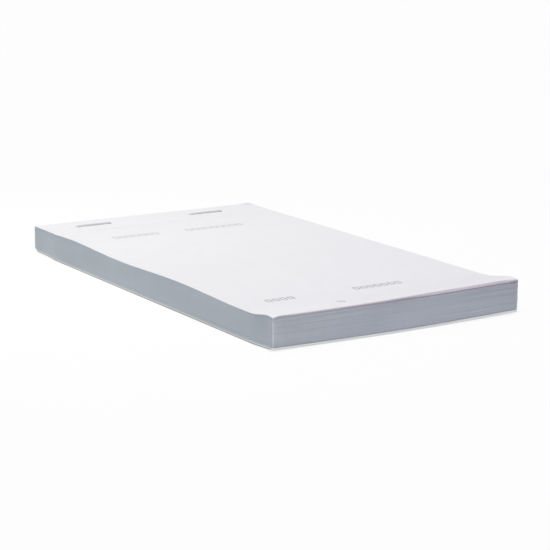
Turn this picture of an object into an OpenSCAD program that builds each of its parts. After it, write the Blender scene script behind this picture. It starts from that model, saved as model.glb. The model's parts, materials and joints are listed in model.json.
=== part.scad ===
// Triplicate pad: sets of three carbonless sheets on a backing board, held by two staples.
// X runs across the pad, +Y points to the bound end, +Z is up. The origin is on the table,
// under the middle of the pad. All lengths are in millimetres.

/* [Pad] */
// Width of the pad, along its bound edge
pad_w = 95; // [70:1:210]
// Length of the pad, from its free edge to its bound edge
pad_l = 171; // [100:1:300]

/* [Sheets] */
// Number of sets, each with a top, a middle and a bottom copy
set_count = 50; // [10:1:52]
// Thickness of one sheet
sheet_t = 0.05; // [0.04:0.005:0.1]
// Air under each sheet where the pad lies loose
loose_gap = 0.012; // [0.008:0.001:0.03]
// Air under each sheet where the staples pinch the pad
pinched_gap = 0.007; // [0.005:0.0005:0.02]
// Air under each sheet at the free edge, where the pad fans open
fanned_gap = 0.017; // [0.008:0.001:0.04]

/* [Backing board] */
// Thickness of the board
board_t = 0.7; // [0.4:0.05:2]
// Height that the board's free edge curls up
curl_h = 0.6; // [0:0.1:3]
// Length of the curled and fanned end
curl_l = 13; // [8:1:30]

/* [Fold line] */
// Distance from the bound edge to the perforated fold line
fold_inset = 19; // [16:0.5:40]
// Length of each perforation cut
cut_l = 2; // [1:0.25:4]
// Length of each tie left between two cuts
tie_l = 1; // [0.5:0.25:2]
// Width of each perforation cut
cut_w = 0.2; // [0.1:0.05:0.5]

/* [Staples] */
// Length of a staple's crown, over its bends
crown_l = 15; // [10:0.5:20]
// Width of the flat wire
wire_w = 1; // [0.5:0.1:1.2]
// Thickness of the flat wire
wire_t = 0.6; // [0.3:0.05:0.8]
// Inner radius of the wire's bends
bend_r = 0.3; // [0.2:0.05:0.6]
// Length of each leg's clinched end, over its bend
clinch_l = 4.5; // [2:0.25:4.75]
// Distance from the bound edge to the middle of the wire
staple_inset = 9; // [5:0.5:13]
// Distance from the pad's left edge to the middle of the left staple
staple_offset = 20.5; // [12:0.5:24]
// Distance between the middles of the two staples
staple_spacing = 49; // [24:0.5:60]
// Room around a leg in its slot
leg_clearance = 0.05; // [0.02:0.01:0.2]

/* [Hidden] */
copies = ["top_copy", "middle_copy", "bottom_copy"];
copy_colours = [[0.96, 0.96, 0.97], [0.84, 0.90, 0.96], [0.96, 0.87, 0.90]];
board_colour = [0.80, 0.80, 0.80];
steel_colour = [0.78, 0.79, 0.81];

function set_name(number) = str("set_", number < 10 ? "0" : "", number);
function stub_name(copy) = str(copies[copy], "_stub");

sheet_count = set_count * len(copies);
y_free = -pad_l / 2;
y_bound = pad_l / 2;
y_fold = y_bound - fold_inset;
y_staple = y_bound - staple_inset;
// The pad is level and fully pinched from here to the bound edge.
y_pinched = y_staple - wire_w / 2 - leg_clearance;
bend_steps = 4;

// The places along the pad at which a sheet or the board changes slope.
curl_stations = [for (i = [0 : bend_steps]) y_free + curl_l * i / bend_steps];
pinch_stations = [for (i = [0 : bend_steps]) y_fold + (y_pinched - y_fold) * i / bend_steps];
leaf_stations = concat(curl_stations, [y_fold]);
stub_stations = concat(pinch_stations, [y_bound]);
sheet_stations = concat(curl_stations, stub_stations);

// A smooth step from 0 to 1.
function ease(t) = let (s = min(max(t, 0), 1)) s * s * (3 - 2 * s);
// 1 at the free edge, falling to 0 where the curled end begins.
function curled(y) = ease(1 - (y - y_free) / curl_l);
// 0 at the fold line, rising to 1 at the staples.
function pinched(y) = ease((y - y_fold) / (y_pinched - y_fold));

// The board lifts by the wire's thickness over the clinched legs, and curls at its free edge.
function board_z(y) = wire_t * pinched(y) + curl_h * curled(y);
function gap(y) = loose_gap
    + (pinched_gap - loose_gap) * pinched(y)
    + (fanned_gap - loose_gap) * curled(y);
// The top of the stack after a number of sheets, counted from the board.
function stack_z(y, sheets) = board_z(y) + board_t + sheets * (sheet_t + gap(y));
// How many sheets lie below a copy of a set, both counted from the top.
function sheets_below(set, copy) = sheet_count - len(copies) * (set - 1) - copy - 1;

z_crown = stack_z(y_staple, sheet_count);
staple_x = [for (i = [0, 1]) -pad_w / 2 + staple_offset + i * staple_spacing];

// A strip as wide as the pad between a lower and an upper outline along Y.
module strip(lower, upper) {
    rotate([90, 0, 90])
        linear_extrude(pad_w, center = true)
            polygon(concat(lower, [for (i = [len(upper) - 1 : -1 : 0]) upper[i]]));
}

// The four slots that the staple legs and the insides of their bends pass through.
module leg_slots() {
    slot_l = wire_t + bend_r + 2 * leg_clearance;
    slot_w = wire_w + 2 * leg_clearance;
    slot_h = z_crown + wire_t;
    reach = crown_l / 2 + leg_clearance - slot_l / 2;
    for (x = staple_x, side = [-1, 1])
        translate([x + side * reach, y_staple, slot_h / 2])
            cube([slot_l, slot_w, slot_h], center = true);
}

// The row of cuts that separates a leaf from its stub, between the ties that hold them together.
module perforation(z) {
    pitch = cut_l + tie_l;
    cut_count = floor((pad_w - tie_l) / pitch);
    for (i = [0 : cut_count - 1])
        translate([(i - (cut_count - 1) / 2) * pitch, y_fold, z])
            cube([cut_l, 2 * cut_w, 2 * loose_gap + 2 * sheet_t], center = true);
}

// One sheet, or the part of it that spans the given stations.
module sheet(set, copy, stations) {
    below = sheets_below(set, copy);
    strip(
        [for (y = stations) [y, stack_z(y, below + 1) - sheet_t]],
        [for (y = stations) [y, stack_z(y, below + 1)]]
    );
}

module backing_board() {
    color(board_colour)
        difference() {
            strip(
                [for (y = sheet_stations) [y, board_z(y)]],
                [for (y = sheet_stations) [y, board_z(y) + board_t]]
            );
            leg_slots();
        }
}

// A set that lies whole in the pad.
module paper_set(number) {
    for (copy = [0 : len(copies) - 1])
        color(copy_colours[copy])
            difference() {
                sheet(number, copy, sheet_stations);
                leg_slots();
            }
}

// The part of a top set copy that lifts at the fold line.
module leaf(copy) {
    color(copy_colours[copy])
        difference() {
            sheet(1, copy, leaf_stations);
            perforation(stack_z(y_fold, sheets_below(1, copy) + 1) - sheet_t / 2);
        }
}

// The part of a top set copy that stays under the staples.
module stub(copy) {
    color(copy_colours[copy])
        difference() {
            sheet(1, copy, stub_stations);
            leg_slots();
        }
}

// A flat rectangle with round corners, from its lower left corner.
module rounded_rectangle(size, r) {
    translate([0, r])
        square([size.x, size.y - 2 * r]);
    translate([r, 0])
        square([size.x - 2 * r, size.y]);
    for (x = [r, size.x - r], y = [r, size.y - r])
        translate([x, y])
            circle(r, $fn = 48);
}

// A closed staple seen from the bound end: crown, two legs, and two ends clinched inwards.
module staple_outline() {
    height = z_crown + wire_t;
    inner = [crown_l - 2 * wire_t, height - 2 * wire_t];
    difference() {
        rounded_rectangle([crown_l, height], bend_r + wire_t);
        translate([wire_t, wire_t])
            rounded_rectangle(inner, bend_r);
        translate([clinch_l, 0])
            square([crown_l - 2 * clinch_l, wire_t]);
    }
}

module staple(x) {
    color(steel_colour)
        translate([x - crown_l / 2, y_staple, 0])
            rotate([90, 0, 0])
                linear_extrude(wire_w, center = true)
                    staple_outline();
}

backing_board();
staple(staple_x[0]);  // staple_left
staple(staple_x[1]);  // staple_right
for (copy = [0 : len(copies) - 1]) {
    leaf(copy);
    stub(copy);
}
for (number = [2 : set_count])
    paper_set(number);
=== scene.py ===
"""The looks of a stapled triplicate pad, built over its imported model.

Every sheet is a closed solid of its own: loose leaves and stubs of the top set, and blocks of
whole sets below them. All lengths are in metres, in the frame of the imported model.
"""

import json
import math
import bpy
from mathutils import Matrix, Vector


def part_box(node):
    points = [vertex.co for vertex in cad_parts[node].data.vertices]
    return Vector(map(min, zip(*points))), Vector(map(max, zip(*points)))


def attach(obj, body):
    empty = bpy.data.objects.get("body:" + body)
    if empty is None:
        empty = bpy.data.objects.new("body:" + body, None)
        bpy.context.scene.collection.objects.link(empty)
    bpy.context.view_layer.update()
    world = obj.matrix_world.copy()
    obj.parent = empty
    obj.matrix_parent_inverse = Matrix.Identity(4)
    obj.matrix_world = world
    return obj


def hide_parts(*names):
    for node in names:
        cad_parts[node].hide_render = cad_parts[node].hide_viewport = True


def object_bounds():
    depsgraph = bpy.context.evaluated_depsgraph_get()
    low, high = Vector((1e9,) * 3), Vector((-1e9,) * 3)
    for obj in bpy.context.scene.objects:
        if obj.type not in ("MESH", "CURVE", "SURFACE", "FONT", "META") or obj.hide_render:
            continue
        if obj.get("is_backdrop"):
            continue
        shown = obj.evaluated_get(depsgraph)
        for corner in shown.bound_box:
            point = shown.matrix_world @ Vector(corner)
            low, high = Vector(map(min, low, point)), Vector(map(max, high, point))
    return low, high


bl_info = {
    "name": "Triplicate Pad",
    "version": (1, 0, 0),
    "blender": (4, 5, 0),
    "location": "View3D > Sidebar > Pad",
    "description": "Builds a stapled pad of three-part sheets on a backing board",
    "category": "Object",
}

from itertools import pairwise

import bpy
import numpy as np
from bpy.props import FloatProperty, FloatVectorProperty, IntProperty, PointerProperty
from mathutils import Matrix, Vector

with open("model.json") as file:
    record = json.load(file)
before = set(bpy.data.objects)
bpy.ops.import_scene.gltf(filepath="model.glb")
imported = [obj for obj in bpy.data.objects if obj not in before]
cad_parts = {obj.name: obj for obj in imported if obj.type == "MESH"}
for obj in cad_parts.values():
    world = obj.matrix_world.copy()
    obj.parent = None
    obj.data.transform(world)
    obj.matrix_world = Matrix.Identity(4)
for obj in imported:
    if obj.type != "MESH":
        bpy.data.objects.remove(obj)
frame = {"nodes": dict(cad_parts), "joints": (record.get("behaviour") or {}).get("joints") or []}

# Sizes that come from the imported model
MM = 0.001
CAD_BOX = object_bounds()
BOARD_LOW, BOARD_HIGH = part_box("backing_board")
HALF_WIDTH = BOARD_HIGH.x
WIDTH = 2 * HALF_WIDTH
FREE_EDGE = BOARD_LOW.y
BOUND_EDGE = BOARD_HIGH.y
LENGTH = BOUND_EDGE - FREE_EDGE
FOLD_Y, FOLD_Z = frame["joints"][0]["pos_m"][1:]
STAPLE_BOXES = {side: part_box("staple_" + side) for side in ("left", "right")}
COPIES = ("top_copy", "middle_copy", "bottom_copy")
SET_NODES = sorted(name for name in frame["nodes"] if name.startswith("set_"))
SHEETS = len(COPIES) * (len(SET_NODES) + 1)

# How the meshes are divided
SETS_IN_BLOCK = 7
LEVEL_STEP = 7 * MM
BEND_STEP = 2 * MM
ACROSS_STEP = 6 * MM
LEAST_STEP = MM / 1000
ROUNDING = 1e-6
SHARP_ANGLE = math.radians(40)
BEND_STEPS = 8
WIRE_CORNER_STEPS = 4

# The staples' cut ends
END_BEVEL = 0.1 * MM
END_SHARE = 0.75

# The stage
FLOOR_WHITE = (0.8, 0.8, 0.8)
PURE_WHITE = (1.0, 1.0, 1.0)
FLOOR_REACH = 6.0
FLOOR_Z = -0.02 * MM
SENSOR_WIDTH = 36.0

# Tones of the board: its flecks, and the painted shadow along the sides of its lower ply, where the
# board meets the table
FLECK = (0.42, 0.40, 0.37)
PAINTED_SHADOW_GREY = (0.28, 0.28, 0.27)
PLY_PAINTED_SHADOW = 0.8

# Tones of the cut paper edges: a lilac painted highlight, partly the copies' own tint, and a plum
# painted shade for the lifted sheets, and painted light at the left and painted shade at the right
LILAC_PAINTED_HIGHLIGHT = (0.83, 0.745, 0.83)
PLUM_PAINTED_SHADE = (0.295, 0.24, 0.29)
LEFT_PAINTED_LIGHT = (1.04, 1.045, 1.0)
RIGHT_PAINTED_SHADE = (0.98, 0.96, 0.96)

# Painted light on the edges of the lifted sheets, by kind of sheet: where the lilac painted highlight
# starts and ends in X, the share that ends there, its strength, and the strength of the plum painted
# shade beside it
CREST_START = (2 * MM - HALF_WIDTH, 9 * MM - HALF_WIDTH)
CREST_END = (HALF_WIDTH - 3 * MM, HALF_WIDTH - MM)
LIFTED_START = (0.0, 0.3 * HALF_WIDTH)
LIFTED_END = (HALF_WIDTH - 5 * MM, HALF_WIDTH - 2 * MM)
PAINTED_EDGE_LIGHT = {
    "crest": (CREST_START, CREST_END, 0.5, 0.85, 0.0),
    "lifted": (LIFTED_START, LIFTED_END, 1.0, 0.85, 0.6),
    "shaded": (LIFTED_START, LIFTED_END, 1.0, 0.4, 0.6),
}

# How the maps for baked finishes are shared out
BAKE_MAP = "OFBake"
MAP_MARGIN = 0.003
OUTER_CAP_SHARE = 0.46
BLOCK_WALL_SHARE = 0.6
SHEET_WALL_SHARE = 0.06

# The random draws of the guillotined edges
JOG_SEED = 41

# Rows of small empty boxes printed on every sheet: left end in X, middle in Y, how many boxes, and
# the width of their lines, all lengths in millimetres
ENTRY_ROWS = (
    (-33.0, 49.0, 7, 0.3),
    (-2.4, 49.0, 9, 0.3),
    (-35.75, -62.0, 4, 0.48),
    (-2.25, -62.0, 7, 0.48),
    (-17.5, -75.9, 1, 0.48),
)
ENTRY_PITCH = 2.75 * MM
ENTRY_WIDTH = 2.0 * MM
ENTRY_HEIGHT = 3.0 * MM


def number(name, description, default, unit="NONE", **details):
    """A property for a number."""
    return FloatProperty(name=name, description=description, default=default, unit=unit, **details)


def place(name, description, millimetres, **limits):
    """A property for a place along an axis, which may be negative."""
    default = millimetres * MM
    return number(name, description, default, "LENGTH", subtype="DISTANCE", precision=6, **limits)


def length(name, description, millimetres):
    """A property for a length."""
    return place(name, description, millimetres, min=0.0)


def angle(name, description, degrees):
    """A property for an angle."""
    default = math.radians(degrees)
    return number(name, description, default, "ROTATION", subtype="ANGLE", precision=4)


def share(name, description, default):
    """A property for a share, from 0 to 1."""
    return number(name, description, default, subtype="FACTOR", min=0.0, max=1.0)


def amount(name, description, default):
    """A property for a number of things."""
    return IntProperty(name=name, description=description, default=default, min=0)


def colour(name, description, default):
    """A property for a linear colour."""
    return FloatVectorProperty(
        name=name, description=description, default=default, size=3, min=0.0, max=1.0, subtype="COLOR"
    )


class PaperSettings(bpy.types.PropertyGroup):
    """Sizes and colours of the sheets."""

    thickness: length("Thickness", "Thickness of one sheet", 0.05)
    corner_radius: length("Corner radius", "Radius of a sheet's corners", 0.3)
    left_curl_length: length("Left curl length", "Length of the curled end at its left", 13)
    right_curl_length: length("Right curl length", "Length of the curled end at its right", 19)
    left_fan: length("Left fan", "Height gained at the left of the free edge", 0.72)
    right_fan: length("Right fan", "Height gained at the right of the free edge", 1.25)
    wave_height: length("Wave height", "Height of the waves along the left edge", 0.42)
    wave_length: length("Wave length", "Distance from crest to crest", 83)
    wave_crest: length("Wave crest", "Distance from the free edge to a crest", 59)
    wave_right: share("Right wave", "Share of the waves at the right edge", 0.1)
    left_droop: length("Left droop", "How far the left free corner droops", 0.5)
    right_droop: length("Right droop", "How far the right free corner droops", 0.6)
    # The edges of the lifted sheets get a painted highlight and painted shade: the most highlight on
    # the crest sheets, less on the shaded sheets
    lifted_sheets: amount("Lifted sheets", "Sheets that lift off at the free edge", 15)
    crest_sheets: amount("Crest sheets", "Topmost sheets, whose edges catch the light", 6)
    shaded_sheets: amount("Shaded sheets", "Lifted sheets whose edges are dull", 5)
    lift_height: length("Lift height", "Gap under the lifted sheets, at the right", 0.28)
    stub_puff: length("Stub puff", "How far the stubs swell", 0.18)
    stub_curl: length("Stub curl", "How far the top stub's right corner curls up", 0.25)
    cut_length: length("Cut length", "Length of each perforation cut", 2)
    tie_length: length("Tie length", "Length of each tie left between two cuts", 1)
    cut_width: length("Cut width", "Width of each perforation cut", 0.1)
    setback: length("Setback", "How far the free edges stand back", 0.08)
    jog: length("Jog", "How unevenly the free edges lie", 0.05)
    white: colour("White", "Colour of the top copies", (0.872, 0.862, 0.903))
    blue: colour("Blue", "Colour of the middle copies", (0.66, 0.76, 0.88))
    pink: colour("Pink", "Colour of the bottom copies", (0.87, 0.72, 0.79))
    # The edge colour is partly the cut edges' own grey-blue tint, partly painted shade between the
    # sheets
    edge: colour("Edge", "Colour that the cut edges take on", (0.195, 0.288, 0.357))
    ink: colour("Ink", "Colour of the printed lines", (0.30, 0.31, 0.34))


class BoardSettings(bpy.types.PropertyGroup):
    """Sizes and colour of the backing board."""

    thickness: length("Thickness", "Thickness of the board", 0.7)
    corner_radius: length("Corner radius", "Radius of the board's corners", 0.5)
    left_curl: length("Left curl", "How far the left free corner curls up", 0.55)
    middle_curl: length("Middle curl", "How far the middle of the free edge curls up", 0.02)
    right_curl: length("Right curl", "How far the right free corner curls up", 0.85)
    corner_wear: length("Corner wear", "How far the left bound corner is worn", 0.42)
    lower_ply: length("Lower ply", "Thickness of the board's grey lower ply", 0.33)
    card: colour("Card", "Colour of the board", (0.72, 0.73, 0.74))
    ply: colour("Ply", "Colour of the board's lower ply", (0.67, 0.675, 0.675))


class StapleSettings(bpy.types.PropertyGroup):
    """Sizes and colour of the staples."""

    wire_thickness: length("Wire thickness", "Thickness of the flat wire", 0.6)
    bend_radius: length("Bend radius", "Inner radius of the wire's bends", 0.3)
    clinch_length: length("Clinch length", "Length of each leg's clinched end", 4.5)
    wire_rounding: length("Wire rounding", "Radius of the wire's long edges", 0.14)
    slot_room: length("Slot room", "Room around a leg in its slot", 0.05)
    steel: colour("Steel", "Colour of the wire", (0.58, 0.58, 0.6))


class StageSettings(bpy.types.PropertyGroup):
    """Camera, light and floor."""

    camera_heading: angle("Camera heading", "Heading of the camera, from +Y", -32.0205)
    camera_height: angle("Camera height", "Angle of the camera above the horizon", 12.6413)
    camera_roll: angle("Camera roll", "Turn of the camera about its own axis", 0.3093)
    camera_distance: length("Camera distance", "Distance from the camera to its aim", 661.369)
    aim_x: place("Aim in X", "Where the camera aims, along X", 9.937)
    aim_y: place("Aim in Y", "Where the camera aims, along Y", 5.272)
    lens: number("Lens", "Focal length, in millimetres", 120.3, "CAMERA", min=1.0)
    key_strength: number("Key strength", "Strength of the soft light, in W/m²", 1.88, min=0.0)
    key_heading: angle("Key heading", "Heading of the soft light, from +Y to +X", -150)
    key_height: angle("Key height", "Angle of the soft light above the horizon", 52)
    key_spread: angle("Key spread", "Width of the soft light, seen from the pad", 50)
    back_power: number("Back power", "Power of the back light", 0.037, "POWER", min=0.0)
    back_heading: angle("Back heading", "Heading of the back light, from +Y to +X", -50)
    back_height: angle("Back height", "Angle of the back light above the horizon", 50)
    back_distance: length("Back distance", "Distance of the back light", 350)
    back_size: length("Back size", "Width of the back light", 250)
    back_spread: angle("Back spread", "Width of the back light's beam", 52)
    back_aim_x: place("Back aim in X", "Where the back light aims, along X", -70)
    back_aim_y: place("Back aim in Y", "Where the back light aims, along Y", 60)
    back_tint: colour("Back tint", "Colour of the back light", (0.97, 1.0, 0.86))
    ambient: share("Ambient", "Strength of the light from all around", 0.4)
    floor_glow: share("Floor glow", "Share of the floor that takes no shadow", 0.85)


def ease(t):
    """A smooth step from 0 to 1."""
    s = np.clip(t, 0.0, 1.0)
    return s * s * (3 - 2 * s)


def between(start, end, way):
    """The value at a share of the way from start to end."""
    return start + (end - start) * way


def lines(marks, step):
    """Grid lines through every mark, at most a step apart."""
    parts = []
    for start, end in pairwise(marks):
        count = max(1, math.ceil((end - start) / step - ROUNDING))
        parts.append(np.linspace(start, end, count + 1)[:-1])
    return np.append(np.concatenate(parts), marks[-1])


def rounded(x, y, radius):
    """Moves a grid's points so that the pad gets round corners."""
    inner_x = np.clip(x, radius - HALF_WIDTH, HALF_WIDTH - radius)
    inner_y = np.clip(y, FREE_EDGE + radius, BOUND_EDGE - radius)
    across = (x - inner_x) / radius
    along = (y - inner_y) / radius
    return (
        inner_x + radius * across * np.sqrt(1 - along**2 / 2),
        inner_y + radius * along * np.sqrt(1 - across**2 / 2),
    )


class Stack:
    """The shape of the stack: heights of the board and the sheets, and their grid lines."""

    fade_length = 14 * MM
    puff_reach = 8 * MM
    wear_reach = 2 * MM
    worn_sheets = 14
    fan_ramp = 0.6 * WIDTH
    tip_reach = 2.4 * MM
    left_tip_width = 1.4 * MM
    right_tip_width = 3 * MM
    lift_reach = 14 * MM
    corner_reach = 10 * MM
    dimple_length = 9.5 * MM
    dimple_width = 4 * MM
    dimple_power = 6
    curl_power = 1.6
    lift_start = -HALF_WIDTH / 4
    lift_ramp = HALF_WIDTH / 2

    def __init__(self, scene):
        self.paper = scene.pad_paper
        self.board = scene.pad_board
        self.staples = scene.pad_staples
        self.wire = self.staples.wire_thickness
        staple_low, staple_high = STAPLE_BOXES["left"]
        room = self.staples.slot_room
        self.slot_y = (staple_low.y - room, staple_high.y + room)
        self.staple_y = (staple_low.y + staple_high.y) / 2
        self.loose = FOLD_Z - self.board.thickness
        self.pinched_height = staple_high.z - 2 * self.wire - self.board.thickness

    def slots_x(self):
        """The start and end in X of the four slots for the staple legs."""
        room = self.staples.slot_room
        reach = self.wire + self.staples.bend_radius + room
        found = []
        for low, high in STAPLE_BOXES.values():
            found += [(low.x - room, low.x + reach), (high.x - reach, high.x + room)]
        return found

    def lines_x(self, radius):
        """Grid lines across the pad."""
        slots = np.ravel(self.slots_x())
        from_side = np.array([0, radius / 2, radius, self.wear_reach / 2, self.wear_reach])
        return lines([*(from_side - HALF_WIDTH), *slots, *(HALF_WIDTH - from_side[::-1])], ACROSS_STEP)

    def leaf_lines_y(self, radius):
        """Grid lines along the pad from the free edge to the fold line."""
        curl_end = FREE_EDGE + max(self.paper.left_curl_length, self.paper.right_curl_length)
        cut_start = FOLD_Y - self.paper.cut_width
        curl = lines([FREE_EDGE, FREE_EDGE + radius / 2, FREE_EDGE + radius, curl_end], BEND_STEP)
        level = lines([curl_end, cut_start, FOLD_Y], LEVEL_STEP)
        return np.append(curl, level[1:])

    def stub_lines_y(self, radius):
        """Grid lines along the pad from the fold line to the bound edge."""
        end = [BOUND_EDGE - radius, BOUND_EDGE - radius / 2, BOUND_EDGE]
        return lines([FOLD_Y, *self.slot_y, *end], BEND_STEP)

    def lines_y(self, radius):
        """Grid lines along the whole pad."""
        return np.append(self.leaf_lines_y(radius), self.stub_lines_y(radius)[1:])

    def curled(self, x, y):
        """1 at the free edge, falling to 0 where the curled end begins."""
        right = ease((x + HALF_WIDTH) / WIDTH)
        reach = between(self.paper.left_curl_length, self.paper.right_curl_length, right)
        return ease(1 - (y - FREE_EDGE) / reach)

    def pinched(self, y):
        """0 at the fold line, rising to 1 at the staples."""
        return ease((y - FOLD_Y) / (self.slot_y[0] - FOLD_Y))

    def board_rise(self, x, y):
        """Height of the board's underside over the table."""
        corner = np.where(x < 0, self.board.left_curl, self.board.right_curl)
        curl = between(self.board.middle_curl, corner, (np.abs(x) / HALF_WIDTH) ** self.curl_power)
        return self.wire * self.pinched(y) + curl * self.curled(x, y)

    def wave(self, x, y):
        """Slow waves along the pad, strongest at the left and gone at both ends."""
        along = y - FREE_EDGE
        turn = 2 * math.pi * (along - self.paper.wave_crest) / self.paper.wave_length
        weight = between(1, self.paper.wave_right, (x + HALF_WIDTH) / WIDTH)
        ends = ease(along / self.fade_length) * ease((FOLD_Y - y) / self.fade_length)
        return self.paper.wave_height * np.cos(turn) * weight * ends

    def swell(self, x, y):
        """How far the stubs swell between and beside the staples."""
        puff = self.paper.stub_puff * ease((y - FOLD_Y) / self.puff_reach)
        for low, high in STAPLE_BOXES.values():
            across = (x - (low.x + high.x) / 2) / self.dimple_length
            along = (y - self.staple_y) / self.dimple_width
            puff = puff * (1 - np.exp(-(across**self.dimple_power) - along**2))
        return puff

    def paper_height(self, x, y):
        """Height of all the sheets together."""
        right = ease((x + HALF_WIDTH) / self.fan_ramp)
        fan = between(self.paper.left_fan, self.paper.right_fan, right)
        droop = np.where(x < 0, self.paper.left_droop, self.paper.right_droop)
        tip_width = np.where(x < 0, self.left_tip_width, self.right_tip_width)
        corner = ((HALF_WIDTH - np.abs(x)) / tip_width) ** 2 + ((y - FREE_EDGE) / self.tip_reach) ** 2
        height = between(self.loose, self.pinched_height, self.pinched(y))
        height = height + fan * self.curled(x, y) - droop * np.exp(-corner)
        return height + self.wave(x, y) + self.swell(x, y)

    def worn(self, x, y, count):
        """How far a sheet, or the board at 0, is worn back at the left bound corner."""
        height = np.clip(1 - count / self.worn_sheets, 0, 1)
        corner = ((x + HALF_WIDTH) ** 2 + (BOUND_EDGE - y) ** 2) / self.wear_reach**2
        return self.board.corner_wear * (1 - np.sqrt(1 - height**2)) * np.exp(-corner)

    def lift(self, x, y, count):
        """How far a sheet stands off the stack: at the free edge, or a stub at its corner."""
        raised = np.zeros_like(x)
        if count > SHEETS - self.paper.lifted_sheets:
            right = ease((x - self.lift_start) / self.lift_ramp)
            raised = self.paper.lift_height * right * ease(1 - (y - FREE_EDGE) / self.lift_reach)
        stub = count - (SHEETS - len(COPIES))
        if stub > 0:
            reach = np.hypot(HALF_WIDTH - x, BOUND_EDGE - y) / self.corner_reach
            raised = raised + self.paper.stub_curl * stub / len(COPIES) * ease(1 - reach)
        return raised

    def sheet_top(self, x, y, count):
        """Height of a sheet's upper face, for sheets counted from the board."""
        below = self.board_rise(x, y) + self.board.thickness
        return below + self.paper_height(x, y) * count / SHEETS + self.lift(x, y, count)


class Trim:
    """How far the edges of the sheets stand back from the board's, drawn once for all."""

    sheets_in_group = 14
    flush = 0.03 * MM
    flush_jog = 0.008 * MM
    fine_jog = 0.006 * MM
    left_unevenness = 1.5
    lowest_setback = 0.4 * MM
    lowest_sheets = 5
    upper_reach = 0.12 * MM
    deepest = 1.5

    def __init__(self, stack):
        draw = np.random.default_rng(JOG_SEED)
        paper = stack.paper
        self.stack = stack
        self.paper = paper
        groups = draw.normal(size=(math.ceil(SHEETS / self.sheets_in_group), 2))
        sets = draw.normal(size=(SHEETS // len(COPIES), 2))
        fine = draw.normal(size=(SHEETS, 2))
        uneven = paper.jog * np.repeat(groups, self.sheets_in_group, axis=0)[:SHEETS]
        uneven = uneven + paper.jog / 2 * np.repeat(sets, len(COPIES), axis=0)
        uneven = uneven * (self.left_unevenness, 1.0) + self.fine_jog * fine
        lowest = self.lowest_setback * np.exp(-np.arange(SHEETS) / self.lowest_sheets)
        furthest = self.deepest * paper.corner_radius
        self.free_ends = np.clip(paper.setback + uneven + lowest[:, None], 0, furthest)
        self.flush_sides = self.flush + self.flush_jog * draw.normal(size=(SHEETS, 3))

    def free_setback(self, x, count):
        """How far a sheet's free edge stands back, along that edge."""
        across = (x + HALF_WIDTH) / WIDTH
        back = between(*self.free_ends[count - 1], across)
        if count > SHEETS - self.paper.lifted_sheets:
            back = back - self.upper_reach * ease(2 * across - 1)
        return back

    def moved(self, x, y, count):
        """The grid of a sheet with its edges stood back and its corners rounded."""
        radius = self.paper.corner_radius
        left, right, bound = self.flush_sides[count - 1]
        near_left = np.clip(1 - (x + HALF_WIDTH) / radius, 0, 1)
        near_right = np.clip(1 - (HALF_WIDTH - x) / radius, 0, 1)
        near_free = np.clip(1 - (y - FREE_EDGE) / BEND_STEP, 0, 1)
        near_bound = np.clip(1 - (BOUND_EDGE - y) / radius, 0, 1)
        round_x, round_y = rounded(x, y, radius)
        worn = self.stack.worn(x, y, count)
        return (
            round_x + left * near_left - right * near_right + worn,
            round_y + self.free_setback(x, count) * near_free - bound * near_bound - worn,
        )


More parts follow.
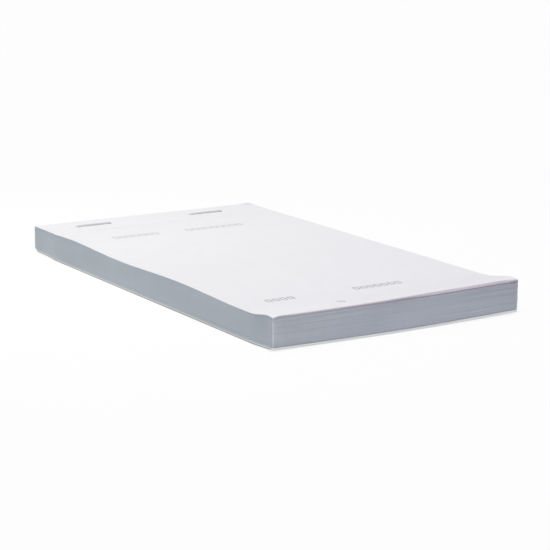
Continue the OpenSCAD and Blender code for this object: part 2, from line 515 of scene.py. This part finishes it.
class SheetMesh:
    """Gathers closed sheets, each a grid of cells, into one mesh with a map for baking."""

    sides = ((0, -1), (1, 0), (0, 1), (-1, 0))

    def __init__(self, sheets, wall_share):
        self.sheets = sheets
        self.wall_share = wall_share
        self.points, self.faces, self.slots, self.spots = [], [], [], []
        self.materials = []
        self.added = 0
        self.point_count = 0

    def slot(self, material):
        """The slot of a material, which is added if it is new here."""
        if material not in self.materials:
            self.materials.append(material)
        return self.materials.index(material)

    def zone(self, is_top):
        """The corner and size of the map's zone for a cap, narrow for a hidden one."""
        low, tall = self.wall_share, 1 - self.wall_share
        if is_top and self.added == 0:
            return (0, low), (OUTER_CAP_SHARE, tall)
        if not is_top and self.added == self.sheets - 1:
            return (OUTER_CAP_SHARE, low), (OUTER_CAP_SHARE, tall)
        tall = tall / self.sheets
        return (2 * OUTER_CAP_SHARE, low + tall * self.added), (1 - 2 * OUTER_CAP_SHARE, tall)

    def map_spots(self, corner, size, shares):
        """Places on the map, for shares of the way across and along a zone."""
        return np.array(corner) + MAP_MARGIN + (np.array(size) - 2 * MAP_MARGIN) * shares

    def add(self, x, y, levels, keep, materials):
        """Adds one closed sheet over the cells that keep marks.

        Its levels are heights from its underside up. Its materials are for its top, its underside
        and each band of its edge, from the underside up.
        """
        slots = [self.slot(material) for material in materials]
        grid = np.arange(x.size).reshape(x.shape)
        start = np.stack(np.nonzero(keep), -1)
        ring = [grid[tuple((start + step).T)] for step in ((0, 0), (1, 0), (1, 1), (0, 1))]
        across = (x + HALF_WIDTH) / WIDTH
        along = (y - FREE_EDGE) / LENGTH
        shares = np.stack((across.ravel(), along.ravel()), -1)
        upper = np.stack(ring, -1)
        lower = upper[:, ::-1]
        bands = len(levels) - 1
        faces = [upper + bands * x.size, lower]
        kinds = [np.full(len(upper), slot) for slot in slots[:2]]
        caps = ((upper, True), (lower, False))
        spots = [self.map_spots(*self.zone(is_top), shares[cap]) for cap, is_top in caps]
        beyond = np.pad(keep, 1)
        tall = self.wall_share / self.sheets / bands
        for side, step in enumerate(self.sides):
            open_cells = ~beyond[tuple((start + 1 + step).T)]
            first = ring[side][open_cells]
            last = ring[(side + 1) % 4][open_cells]
            ends = (first, last, last, first)
            way = np.stack([self.round_way(side, shares[end]) for end in ends], -1)
            up = np.broadcast_to([0.0, 0.0, 1.0, 1.0], way.shape)
            for band, slot in enumerate(slots[2:]):
                low, high = band * x.size, (band + 1) * x.size
                faces.append(np.stack((first + low, last + low, last + high, first + high), -1))
                kinds.append(np.full(len(first), slot))
                corner = (0, tall * (self.added * bands + band))
                spots.append(self.map_spots(corner, (1, tall), np.stack((way, up), -1)))
        faces = np.concatenate(faces)
        used, renamed = np.unique(faces, return_inverse=True)
        points = np.concatenate([np.stack((x, y, z), -1).reshape(-1, 3) for z in levels])
        self.points.append(points[used])
        self.faces.append(renamed.reshape(faces.shape) + self.point_count)
        self.slots.append(np.concatenate(kinds))
        self.spots.append(np.concatenate(spots))
        self.point_count += len(used)
        self.added += 1

    def round_way(self, side, shares):
        """Share of the way round the pad's outline, for points on one of its sides."""
        across, along = shares.T
        way = (
            across * WIDTH,
            WIDTH + along * LENGTH,
            WIDTH + LENGTH + (1 - across) * WIDTH,
            2 * WIDTH + LENGTH + (1 - along) * LENGTH,
        )[side]
        return way / (2 * (WIDTH + LENGTH))

    def build(self, name):
        """Makes the object."""
        mesh = bpy.data.meshes.new(name)
        mesh.from_pydata(np.concatenate(self.points).tolist(), [], np.concatenate(self.faces).tolist())
        mesh.polygons.foreach_set("material_index", np.concatenate(self.slots).astype(np.int32))
        spots = np.concatenate(self.spots).astype(np.float32)
        mesh.uv_layers.new(name=BAKE_MAP).uv.foreach_set("vector", spots.ravel())
        return finished(name, mesh, self.materials)


def finished(name, mesh, materials):
    """Smooths a mesh between its sharp edges, and adds it to the scene as an object."""
    for material in materials:
        mesh.materials.append(material)
    mesh.shade_smooth()
    mesh.set_sharp_from_angle(angle=SHARP_ANGLE)
    mesh.update()
    piece = bpy.data.objects.new(name, mesh)
    bpy.context.scene.collection.objects.link(piece)
    return piece


def operation(kind):
    """A method that adds a Math node of one kind on a shade and other values."""

    def method(self, *others):
        return self.math(kind, self, *others)

    return method


class Shade:
    """A socket of a node tree that can be used in Python expressions."""

    __add__ = __radd__ = operation("ADD")
    __mul__ = __rmul__ = operation("MULTIPLY")
    __sub__ = operation("SUBTRACT")
    __truediv__ = operation("DIVIDE")
    __gt__ = operation("GREATER_THAN")
    __lt__ = operation("LESS_THAN")
    __abs__ = operation("ABSOLUTE")
    fraction = operation("FRACT")
    most = operation("MAXIMUM")

    def __init__(self, tree, socket=None):
        self.tree = tree
        self.socket = socket

    def add(self, kind, settings=(), inputs=(), output=0):
        """Adds a node, with its settings and with values or links for its inputs."""
        node = self.tree.nodes.new(kind)
        for name, value in dict(settings).items():
            setattr(node, name, value)
        for name, value in dict(inputs).items():
            if isinstance(value, Shade):
                self.tree.links.new(value.socket, node.inputs[name])
            else:
                node.inputs[name].default_value = value
        return Shade(self.tree, node.outputs[output] if node.outputs else None)

    def math(self, kind, *values):
        """Adds a Math node on these values."""
        return self.add("ShaderNodeMath", {"operation": kind}, dict(enumerate(values)))

    def __rsub__(self, other):
        return self.math("SUBTRACT", other, self)

    def vector(self, kind, inputs, output=0):
        """Adds a Vector Math node on this vector and its other inputs."""
        return self.add("ShaderNodeVectorMath", {"operation": kind}, {0: self, **inputs}, output)

    def eased(self, low, high):
        """A smooth step from 0 at low to 1 at high."""
        inputs = {"Value": self, "From Min": low, "From Max": high}
        return self.add("ShaderNodeMapRange", {"interpolation_type": "SMOOTHSTEP"}, inputs)

    def distance(self, point):
        """How far this place is from a point."""
        return self.vector("DISTANCE", {1: point}, output="Value")

    def axes(self):
        """The X, Y and Z of a vector."""
        split = self.add("ShaderNodeSeparateXYZ", {}, {"Vector": self})
        return [Shade(self.tree, socket) for socket in split.socket.node.outputs]

    def grain(self, sizes, detail):
        """Noise at this place, with patches of these sizes in X, Y and Z, in millimetres."""
        spot = self.vector("MULTIPLY", {1: tuple(1 / (size * MM) for size in sizes)})
        return self.add("ShaderNodeTexNoise", {}, {"Vector": spot, "Scale": 1.0, "Detail": detail})

    def ranged(self, least, more):
        """This value, from 0 to 1, as one from least to that much more."""
        return self * more + least

    def mixed(self, other, own_share):
        """A mean of this value and another, weighted by its own share."""
        return self * own_share + other * (1 - own_share)

    def scaled(self, factor):
        """A colour made lighter or darker by a factor."""
        return self.vector("SCALE", {"Scale": factor})

    def blend(self, first, second):
        """A mix of two colours, with this value as its factor."""
        inputs = {0: self, 6: first, 7: second}
        return self.add("ShaderNodeMix", {"data_type": "RGBA"}, inputs, output=2)

    def shades(self, tint, darkest, lightest):
        """A shade of a tint, with this value as its place between two."""
        return self.blend(solid(tint, darkest), solid(tint, lightest))


def solid(tint, strength=1.0):
    """A colour as a node takes it, made darker or lighter."""
    return (*(min(1.0, channel * strength) for channel in tint), 1.0)


def emptied(holder):
    """Clears the nodes of a material or a world, and gives a start for new ones."""
    holder.use_nodes = True
    holder.node_tree.nodes.clear()
    return Shade(holder.node_tree)


def close_look(look, base, roughness, height, relief, gloss, metallic=0.0):
    """Adds a surface whose relief, a depth in metres, follows a height."""
    normal = look.add("ShaderNodeBump", {}, {"Strength": 1.0, "Distance": relief, "Height": height})
    inputs = {"Base Color": base, "Roughness": roughness, "Normal": normal}
    inputs |= {"Specular IOR Level": gloss, "Metallic": metallic}
    surface = look.add("ShaderNodeBsdfPrincipled", {}, inputs)
    look.add("ShaderNodeOutputMaterial", {}, {"Surface": surface})


def entry_boxes(x, y):
    """1 on the lines of the printed rows of boxes, 0 elsewhere."""
    mask = 0.0
    for left, middle, boxes, weight in ENTRY_ROWS:
        along = (x - left * MM) / ENTRY_PITCH
        within = along.fraction()
        side = abs(within - 0.5) * ENTRY_PITCH - ENTRY_WIDTH / 2
        end = abs(y - middle * MM) - ENTRY_HEIGHT / 2
        outside = side.most(end)
        line = (outside < 0.0) * (outside > -weight * MM)
        mask = line * (along > 0.0) * (along < float(boxes)) + mask
    return mask


def light_through(x, y):
    """How much paler the lifted free end is, for the light that comes through it."""
    along = 1 - y.eased(low=FREE_EDGE + 7 * MM, high=FREE_EDGE + 19 * MM)
    along = along * y.eased(low=FREE_EDGE - 4 * MM, high=FREE_EDGE + 5 * MM)
    left = 1 - x.eased(low=-40 * MM, high=-5 * MM)
    return along * left.ranged(least=0.03, more=0.05)


def paper_face(spot, tint, ink=None):
    """Uncoated sheet: cloudy formation and fine fibres, with printed boxes if it has an ink."""
    x, y, _ = spot.axes()
    clouds = spot.grain((4, 6, 4), detail=3.0)
    fibres = spot.grain((0.5, 0.9, 0.5), detail=4.0)
    base = clouds.mixed(fibres, own_share=0.6).shades(tint, darkest=0.955, lightest=1.03)
    # Painted shade: the paper darker near the curled corner at the right of the bound edge
    from_corner = spot.distance((HALF_WIDTH, BOUND_EDGE, FOLD_Z))
    painted_corner_shade = 1 - from_corner.eased(low=2.5 * MM, high=6 * MM)
    base = painted_corner_shade.blend(base, solid(tint, strength=0.88))
    base = base.scaled(light_through(x, y) + 1)
    if ink is not None:
        left_over = fibres.eased(low=0.2, high=0.6).ranged(least=0.65, more=0.25)
        base = (entry_boxes(x, y) * left_over).blend(base, solid(ink))
    cloud_height = 0.5
    height = fibres + clouds * cloud_height
    roughness = fibres.ranged(least=0.78, more=0.14)
    return dict(base=base, roughness=roughness, height=height, relief=0.006 * MM, gloss=0.3)


def at_ends(y):
    """1 at the free and the bound end, 0 along the sides between them."""
    return abs(y).eased(low=LENGTH / 2 - 2 * MM, high=LENGTH / 2 - MM)


def painted_edge_light(base, kind, x, front):
    """A lilac painted highlight on the front edges of the lifted sheets, with plum painted shade
    beside it.
    """
    start, end, loss, lilac, plum = PAINTED_EDGE_LIGHT[kind]
    bright = x.eased(*start) * (1 - x.eased(*end) * loss)
    base = (front * (1 - bright) * plum).blend(base, solid(PLUM_PAINTED_SHADE))
    return (front * bright * lilac).blend(base, solid(LILAC_PAINTED_HIGHLIGHT))


def paper_edge(spot, tint, edge, kind):
    """Guillotined edges: knife streaks down the stack, strata along its ends, corners paler at the
    left, and painted light and shade.
    """
    x, y, z = spot.axes()
    streaks = spot.grain((1.6, 1.6, 40), detail=3.0)
    patches = spot.grain((26, 26, 7), detail=2.0)
    strata = spot.grain((60, 60, 0.45), detail=2.0)
    ends = at_ends(y)
    left = 1 - x.eased(low=-HALF_WIDTH, high=0.0)
    high = z.eased(low=FOLD_Z - 3 * MM, high=FOLD_Z + MM)
    at_sides, streak_weight, patch_weight, mean_tone = 0.1, 0.25, 0.4, 0.235
    layered = (strata - 0.5) * (ends * (left * high).ranged(least=0.5, more=6.0) + at_sides)
    tone = streaks * streak_weight + patches * patch_weight + layered + mean_tone
    # Painted shade: the free and bound ends darker than the sides, and more so near the top of the
    # stack
    tone = tone - ends * high.ranged(least=0.06, more=0.12)
    tone = tone.eased(low=0.25, high=0.75)
    # The edge colour darkens the cut edges: partly their own tint, partly painted shade between the
    # sheets
    edge_tint_and_shade_share = 0.6
    cut = [between(own, shared, edge_tint_and_shade_share) for own, shared in zip(tint, edge)]
    # Painted light and shade: the left half of the edges lighter and greener, the right half darker
    sides = []
    for cast in (RIGHT_PAINTED_SHADE, LEFT_PAINTED_LIGHT):
        side = [channel * change for channel, change in zip(cut, cast)]
        sides.append(tone.shades(side, darkest=0.88, lightest=1.1))
    base = left.blend(*sides)
    # Paler towards the upright corners of the stack at the left
    corner = (HALF_WIDTH - abs(x)).most(LENGTH / 2 - abs(y))
    worn = 1 - corner.eased(low=0.1 * MM, high=0.6 * MM)
    pale_corner_share = 0.5
    base = (worn * left * pale_corner_share).blend(base, solid(PURE_WHITE, strength=0.8))
    # Painted highlight and painted shade on the front edges of the lifted sheets
    if kind in PAINTED_EDGE_LIGHT:
        front = 1 - y.eased(low=FREE_EDGE + 2 * MM, high=FREE_EDGE + 14 * MM)
        base = painted_edge_light(base, kind, x, front * ends.ranged(least=0.4, more=0.6))
    roughness = streaks.ranged(least=0.8, more=0.12)
    return dict(base=base, roughness=roughness, height=streaks, relief=0.004 * MM, gloss=0.2)


def card_face(spot, tint):
    """Pale pressed card: soft clouds, short fibres and a scatter of darker flecks."""
    clouds = spot.grain((7, 9, 7), detail=3.0)
    fibres = spot.grain((0.3, 1.2, 0.3), detail=3.0)
    flecks = spot.grain((0.7, 0.7, 0.7), detail=1.0).eased(low=0.68, high=0.76)
    base = clouds.mixed(fibres, own_share=0.5).shades(tint, darkest=0.92, lightest=1.06)
    fleck_share = 0.35
    base = (flecks * fleck_share).blend(base, solid(FLECK))
    roughness = fibres.ranged(least=0.78, more=0.15)
    return dict(base=base, roughness=roughness, height=fibres + clouds, relief=0.012 * MM, gloss=0.2)


def card_edge(spot, tint, painted_shadow):
    """Cut edge of the card: pressed layers with loose fibres, with painted shadow along the sides."""
    _, y, _ = spot.axes()
    layers = spot.grain((14, 14, 0.14), detail=3.0)
    fibres = spot.grain((0.5, 0.5, 0.2), detail=3.0)
    tone = layers.mixed(fibres, own_share=0.6).eased(low=0.25, high=0.75)
    base = tone.shades(tint, darkest=0.86, lightest=1.12)
    # Painted shadow: grey along the sides of the board, where it meets the table
    base = ((1 - at_ends(y)) * painted_shadow).blend(base, solid(PAINTED_SHADOW_GREY))
    roughness = fibres.ranged(least=0.78, more=0.15)
    return dict(base=base, roughness=roughness, height=layers + fibres, relief=0.012 * MM, gloss=0.2)


def drawn_wire(spot, tint):
    """Drawn steel wire: fine streaks along it, and dull spots."""
    streaks = spot.grain((3.0, 0.06, 0.09), detail=3.0)
    spots = spot.grain((0.9, 0.4, 0.4), detail=3.0)
    tone = streaks.mixed(spots, own_share=0.6).eased(low=0.25, high=0.75)
    base = tone.shades(tint, darkest=0.86, lightest=1.1)
    spot_share = 0.2
    rough = spots * spot_share + streaks.ranged(least=0.2, more=0.15)
    return dict(base=base, roughness=rough, height=streaks, relief=0.003 * MM, gloss=0.5, metallic=1.0)


def stored(name, describe, *details):
    """The material of this name, made the first time that it is asked for."""
    material = bpy.data.materials.get(name)
    if material is None:
        material = bpy.data.materials.new(name)
        look = emptied(material)
        spot = look.add("ShaderNodeTexCoord", output="Object")
        close_look(look, **describe(spot, *details))
    return material


def copy_tints(paper):
    """The colour of each copy, from the top one down."""
    return {"white": paper.white, "blue": paper.blue, "pink": paper.pink}


def sheet_materials(paper, count):
    """Face, back and edge of a sheet, for sheets counted from the board."""
    above = SHEETS - count
    name, tint = list(copy_tints(paper).items())[above % len(COPIES)]
    kind = "inner"
    if above < paper.crest_sheets:
        kind = "crest"
    elif above < paper.lifted_sheets - paper.shaded_sheets:
        kind = "lifted"
    elif above < paper.lifted_sheets:
        kind = "shaded"
    return [
        stored(name + "_paper_face", paper_face, tint, paper.ink),
        stored(name + "_paper_back", paper_face, tint),
        stored(f"{name}_{kind}_edge", paper_edge, tint, paper.edge, kind),
    ]


def dressed(piece, body, slot, *nodes):
    """Puts a piece on its body in place of the nodes that it stands for."""
    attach(piece, body)
    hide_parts(*nodes)


def add_sheet(gathered, stack, trim, count, cells):
    """Adds one sheet over these cells, straight between the stack's own lines."""
    lines_x, lines_y, keep = cells
    own_x = stack.lines_x(stack.paper.corner_radius)
    own = stack.sheet_top(*np.meshgrid(own_x, lines_y, indexing="ij"), count)
    top = np.stack([np.interp(lines_x, own_x, column) for column in own.T], -1)
    x, y = trim.moved(*np.meshgrid(lines_x, lines_y, indexing="ij"), count)
    levels = (top - stack.paper.thickness, top)
    gathered.add(x, y, levels, keep, sheet_materials(stack.paper, count))


def top_set(stack, kind, cells):
    """Builds a stub or a leaf of each copy, and gives it with its copy's node and slot."""
    trim = Trim(stack)
    for copy, tint in enumerate(copy_tints(stack.paper)):
        gathered = SheetMesh(1, SHEET_WALL_SHARE)
        add_sheet(gathered, stack, trim, SHEETS - copy, cells)
        yield gathered.build(f"{tint}_{kind}"), COPIES[copy], tint + "_paper"


def inside(grid_lines, spans):
    """Marks the gaps between grid lines that lie in one of the spans."""
    middles = (grid_lines[1:] + grid_lines[:-1]) / 2
    return np.any([(middles > start) & (middles < end) for start, end in spans], axis=0)


def clear_of_slots(stack, lines_x, lines_y):
    """These lines, with marks for the cells between them that no staple leg passes through."""
    slots = np.outer(inside(lines_x, stack.slots_x()), inside(lines_y, [stack.slot_y]))
    return lines_x, lines_y, ~slots


class PAD_OT_board(bpy.types.Operator):
    """Adds the backing board, with its curled free edge and round corners"""

    bl_idname = "pad.add_board"
    bl_label = "Backing Board"

    def execute(self, context):
        stack = Stack(context.scene)
        board = stack.board
        radius = board.corner_radius
        *grid_lines, keep = clear_of_slots(stack, stack.lines_x(radius), stack.lines_y(radius))
        x, y = np.meshgrid(*grid_lines, indexing="ij")
        bottom = stack.board_rise(x, y)
        levels = (bottom, bottom + board.lower_ply, bottom + board.thickness)
        worn = stack.worn(x, y, 0)
        x, y = rounded(x, y, radius)
        materials = [
            stored("card_face", card_face, board.card),
            stored("ply_face", card_face, board.ply),
            stored("ply_edge", card_edge, board.ply, PLY_PAINTED_SHADOW),
            stored("card_edge", card_edge, board.card, 0.0),
        ]
        gathered = SheetMesh(1, SHEET_WALL_SHARE)
        gathered.add(x + worn, y - worn, levels, keep, materials)
        piece = gathered.build("board")
        dressed(piece, "pad", "pale_board", "backing_board")
        return {"FINISHED"}


class PAD_OT_sets(bpy.types.Operator):
    """Adds the whole sets below the top one, in blocks of several sets"""

    bl_idname = "pad.add_sets"
    bl_label = "Sets of Sheets"

    def execute(self, context):
        stack = Stack(context.scene)
        trim = Trim(stack)
        radius = stack.paper.corner_radius
        cells = clear_of_slots(stack, stack.lines_x(radius), stack.lines_y(radius))
        count = SHEETS - len(COPIES)
        for first in range(0, len(SET_NODES), SETS_IN_BLOCK):
            nodes = SET_NODES[first : first + SETS_IN_BLOCK]
            gathered = SheetMesh(len(nodes) * len(COPIES), BLOCK_WALL_SHARE)
            for _ in range(gathered.sheets):
                add_sheet(gathered, stack, trim, count, cells)
                count -= 1
            piece = gathered.build(nodes[0] + "_to_" + nodes[-1].removeprefix("set_"))
            dressed(piece, "pad", "set_paper", *nodes)
        return {"FINISHED"}


class PAD_OT_stubs(bpy.types.Operator):
    """Adds the stubs of the top set, which stay under the staples"""

    bl_idname = "pad.add_stubs"
    bl_label = "Stubs"

    def execute(self, context):
        stack = Stack(context.scene)
        radius = stack.paper.corner_radius
        cells = clear_of_slots(stack, stack.lines_x(radius), stack.stub_lines_y(radius))
        for piece, node, slot in top_set(stack, "stub", cells):
            dressed(piece, "pad", slot, node + "_stub")
        return {"FINISHED"}


class PAD_OT_leaves(bpy.types.Operator):
    """Adds the leaves of the top set, which lift at the perforated fold line"""

    bl_idname = "pad.add_leaves"
    bl_label = "Leaves"

    def execute(self, context):
        stack = Stack(context.scene)
        paper = stack.paper
        pitch = paper.cut_length + paper.tie_length
        cuts = math.floor((WIDTH - paper.tie_length) / pitch)
        middles = (np.arange(cuts) - (cuts - 1) / 2) * pitch
        spans = np.stack((middles - paper.cut_length / 2, middles + paper.cut_length / 2), -1)
        lines_x = np.union1d(stack.lines_x(paper.corner_radius), spans)
        lines_x = lines_x[np.append(True, np.diff(lines_x) > LEAST_STEP)]
        lines_y = stack.leaf_lines_y(paper.corner_radius)
        keep = np.ones((len(lines_x) - 1, len(lines_y) - 1), bool)
        keep[:, -1] = ~inside(lines_x, spans)
        for piece, node, slot in top_set(stack, "leaf", (lines_x, lines_y, keep)):
            dressed(piece, node, slot, node)
        return {"FINISHED"}


def bent_path(corners, radius):
    """Points and directions along a path in X and Z, whose square corners are bent."""
    ways = [(end - start).normalized() for start, end in pairwise(corners)]
    stops = [(corners[0], ways[0])]
    for corner, (way_in, way_out) in zip(corners[1:], pairwise(ways)):
        middle = corner - way_in * radius + way_out * radius
        for turn in np.linspace(0, math.pi / 2, BEND_STEPS + 1):
            spot = middle + radius * (way_in * math.sin(turn) - way_out * math.cos(turn))
            stops.append((spot, way_in * math.cos(turn) + way_out * math.sin(turn)))
    return [*stops, (corners[-1], ways[-1])]


def wire_section(thickness, width, rounding):
    """Points round the flat wire's section, as offsets in its thickness and width."""
    found = []
    for quarter, (side, end) in enumerate(((1, 1), (-1, 1), (-1, -1), (1, -1))):
        for turn in np.linspace(quarter, quarter + 1, WIRE_CORNER_STEPS + 1) * math.pi / 2:
            across = side * (thickness / 2 - rounding) + rounding * math.cos(turn)
            along = end * (width / 2 - rounding) + rounding * math.sin(turn)
            found.append((across, along))
    return found


def wire_mesh(name, path, section, middle_y):
    """A closed mesh of the section swept along a path, with its cut ends bevelled."""
    (first, first_way), (last, last_way) = path[0], path[-1]
    rings = [
        (first, first_way, END_SHARE),
        (first + first_way * END_BEVEL, first_way, 1.0),
        *((spot, way, 1.0) for spot, way in path[1:-1]),
        (last - last_way * END_BEVEL, last_way, 1.0),
        (last, last_way, END_SHARE),
    ]
    points = []
    for spot, way, size in rings:
        for across, along in section:
            side = size * across
            points.append((spot.x - way.y * side, middle_y + size * along, spot.y + way.x * side))
    sides = len(section)
    faces = [list(range(sides)), list(range(len(points) - 1, len(points) - 1 - sides, -1))]
    for ring in range(0, len(points) - sides, sides):
        for step in range(sides):
            after = (step + 1) % sides
            faces.append([ring + step, ring + sides + step, ring + sides + after, ring + after])
    mesh = bpy.data.meshes.new(name)
    mesh.from_pydata(points, [], faces)
    return mesh


class PAD_OT_staples(bpy.types.Operator):
    """Adds the two staples of flat wire, with their legs clinched under the board"""

    bl_idname = "pad.add_staples"
    bl_label = "Staples"

    def execute(self, context):
        staples = context.scene.pad_staples
        half = staples.wire_thickness / 2
        steel = stored("drawn_wire", drawn_wire, staples.steel)
        for side, (low, high) in STAPLE_BOXES.items():
            left, right = low.x + half, high.x - half
            base, crown = low.z + half, high.z - half
            corners = [
                (low.x + staples.clinch_length, base),
                (left, base),
                (left, crown),
                (right, crown),
                (right, base),
                (high.x - staples.clinch_length, base),
            ]
            path = bent_path([Vector(corner) for corner in corners], staples.bend_radius + half)
            section = wire_section(2 * half, high.y - low.y, staples.wire_rounding)
            name = side + "_staple"
            mesh = wire_mesh(name, path, section, (low.y + high.y) / 2)
            dressed(finished(name, mesh, [steel]), "pad", "staple_wire", "staple_" + side)
        return {"FINISHED"}


def seen_directly(look):
    """1 for rays from the camera, or from it by way of a mirror or glass."""
    rays = look.add("ShaderNodeLightPath").socket.node.outputs
    kinds = ("Camera", "Glossy", "Transmission")
    camera, glossy, through = (Shade(look.tree, rays[f"Is {kind} Ray"]) for kind in kinds)
    return camera.most(glossy).most(through)


def mixed_shader(look, factor, first, second):
    """A Mix Shader of two shaders."""
    return look.add("ShaderNodeMixShader", {}, {0: factor, 1: first, 2: second})


def add_floor(stage):
    """A wide white floor, which lights the pad as matt white and shows only a pale shadow."""
    material = bpy.data.materials.new("white_floor")
    look = emptied(material)
    matt = look.add("ShaderNodeBsdfDiffuse", {}, {"Color": solid(FLOOR_WHITE)})
    glow = look.add("ShaderNodeEmission", {}, {"Color": solid(PURE_WHITE), "Strength": 1.0})
    white = look.add("ShaderNodeBsdfDiffuse", {}, {"Color": solid(PURE_WHITE)})
    shown = mixed_shader(look, stage.floor_glow, white, glow)
    surface = mixed_shader(look, seen_directly(look), matt, shown)
    look.add("ShaderNodeOutputMaterial", {}, {"Surface": surface})
    corners = ((-1, -1), (1, -1), (1, 1), (-1, 1))
    points = [(x * FLOOR_REACH, y * FLOOR_REACH, FLOOR_Z) for x, y in corners]
    mesh = bpy.data.meshes.new("floor")
    mesh.from_pydata(points, [], [(0, 1, 2, 3)])
    finished("floor", mesh, [material])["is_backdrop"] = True


def add_world(scene, stage):
    """White all round for the camera, and an even soft light for the pad."""
    world = bpy.data.worlds.new("white_room")
    look = emptied(world)
    light, white = (
        look.add("ShaderNodeBackground", {}, {"Color": solid(PURE_WHITE), "Strength": strength})
        for strength in (stage.ambient, 1.0)
    )
    surface = mixed_shader(look, seen_directly(look), light, white)
    look.add("ShaderNodeOutputWorld", {}, {"Surface": surface})
    scene.world = world


def from_sky(heading, height):
    """The way to a place in the sky, with its heading from +Y to +X."""
    level = math.cos(height)
    return Vector((math.sin(heading) * level, math.cos(heading) * level, math.sin(height)))


def hang_lamp(scene, lamp, spot, aim):
    """Hangs a lamp at a spot, turned towards its aim."""
    light = bpy.data.objects.new(lamp.name, lamp)
    light.location = spot
    light.rotation_euler = (spot - aim).to_track_quat("Z", "Y").to_euler()
    scene.collection.objects.link(light)


def add_lights(scene, stage):
    """A wide soft key light from the front, and a weak back light that fades to the right."""
    key = bpy.data.lights.new("key_light", "SUN")
    key.energy = stage.key_strength
    key.angle = stage.key_spread
    hang_lamp(scene, key, from_sky(stage.key_heading, stage.key_height), Vector())
    back = bpy.data.lights.new("back_light", "AREA")
    back.energy = stage.back_power
    back.size = stage.back_size
    back.spread = stage.back_spread
    back.color = stage.back_tint
    spot = stage.back_distance * from_sky(stage.back_heading, stage.back_height)
    hang_lamp(scene, back, spot, Vector((stage.back_aim_x, stage.back_aim_y, 0.0)))


def add_camera(scene, stage):
    """The camera, at the photograph's viewing angle."""
    heading, height = stage.camera_heading, stage.camera_height
    aim = Vector((stage.aim_x, stage.aim_y, 0.0))
    eye = aim - stage.camera_distance * from_sky(-heading, -height)
    turn = Matrix.Rotation(heading, 4, "Z") @ Matrix.Rotation(math.pi / 2 - height, 4, "X")
    lens = bpy.data.cameras.new("camera")
    lens.lens = stage.lens
    lens.sensor_width = SENSOR_WIDTH
    camera = bpy.data.objects.new("camera", lens)
    camera.matrix_world = Matrix.Translation(eye) @ turn @ Matrix.Rotation(stage.camera_roll, 4, "Z")
    scene.collection.objects.link(camera)
    scene.camera = camera


class PAD_OT_stage(bpy.types.Operator):
    """Adds the floor, the light and the camera"""

    bl_idname = "pad.add_stage"
    bl_label = "Stage"

    def execute(self, context):
        scene = context.scene
        stage = scene.pad_stage
        scene.view_settings.view_transform = "Standard"
        add_floor(stage)
        add_world(scene, stage)
        add_lights(scene, stage)
        add_camera(scene, stage)
        return {"FINISHED"}


SETTINGS = {
    "pad_paper": PaperSettings,
    "pad_board": BoardSettings,
    "pad_staples": StapleSettings,
    "pad_stage": StageSettings,
}
OPERATORS = (PAD_OT_stage, PAD_OT_board, PAD_OT_sets, PAD_OT_stubs, PAD_OT_leaves, PAD_OT_staples)


class PAD_PT_panel(bpy.types.Panel):
    """Lists the steps of the pad and their settings"""

    bl_idname = "PAD_PT_panel"
    bl_label = "Triplicate Pad"
    bl_space_type = "VIEW_3D"
    bl_region_type = "UI"
    bl_category = "Pad"

    def draw(self, context):
        for operator in OPERATORS:
            self.layout.operator(operator.bl_idname)
        for holder, group in SETTINGS.items():
            box = self.layout.box()
            for name in group.__annotations__:
                box.prop(getattr(context.scene, holder), name)


def register():
    for kind in (*SETTINGS.values(), *OPERATORS, PAD_PT_panel):
        bpy.utils.register_class(kind)
    for holder, group in SETTINGS.items():
        setattr(bpy.types.Scene, holder, PointerProperty(type=group))


def unregister():
    for holder in SETTINGS:
        delattr(bpy.types.Scene, holder)
    for kind in (PAD_PT_panel, *OPERATORS, *SETTINGS.values()):
        bpy.utils.unregister_class(kind)


def main():
    """Builds the pad and its stage."""
    register()
    bpy.ops.pad.add_stage()
    bpy.ops.pad.add_board()
    bpy.ops.pad.add_sets()
    bpy.ops.pad.add_stubs()
    bpy.ops.pad.add_leaves()
    bpy.ops.pad.add_staples()
    boxes = {"cad": CAD_BOX, "visual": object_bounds()}
    sizes = {name: [list(corner) for corner in box] for name, box in boxes.items()}


if __name__ == "__main__":
    main()
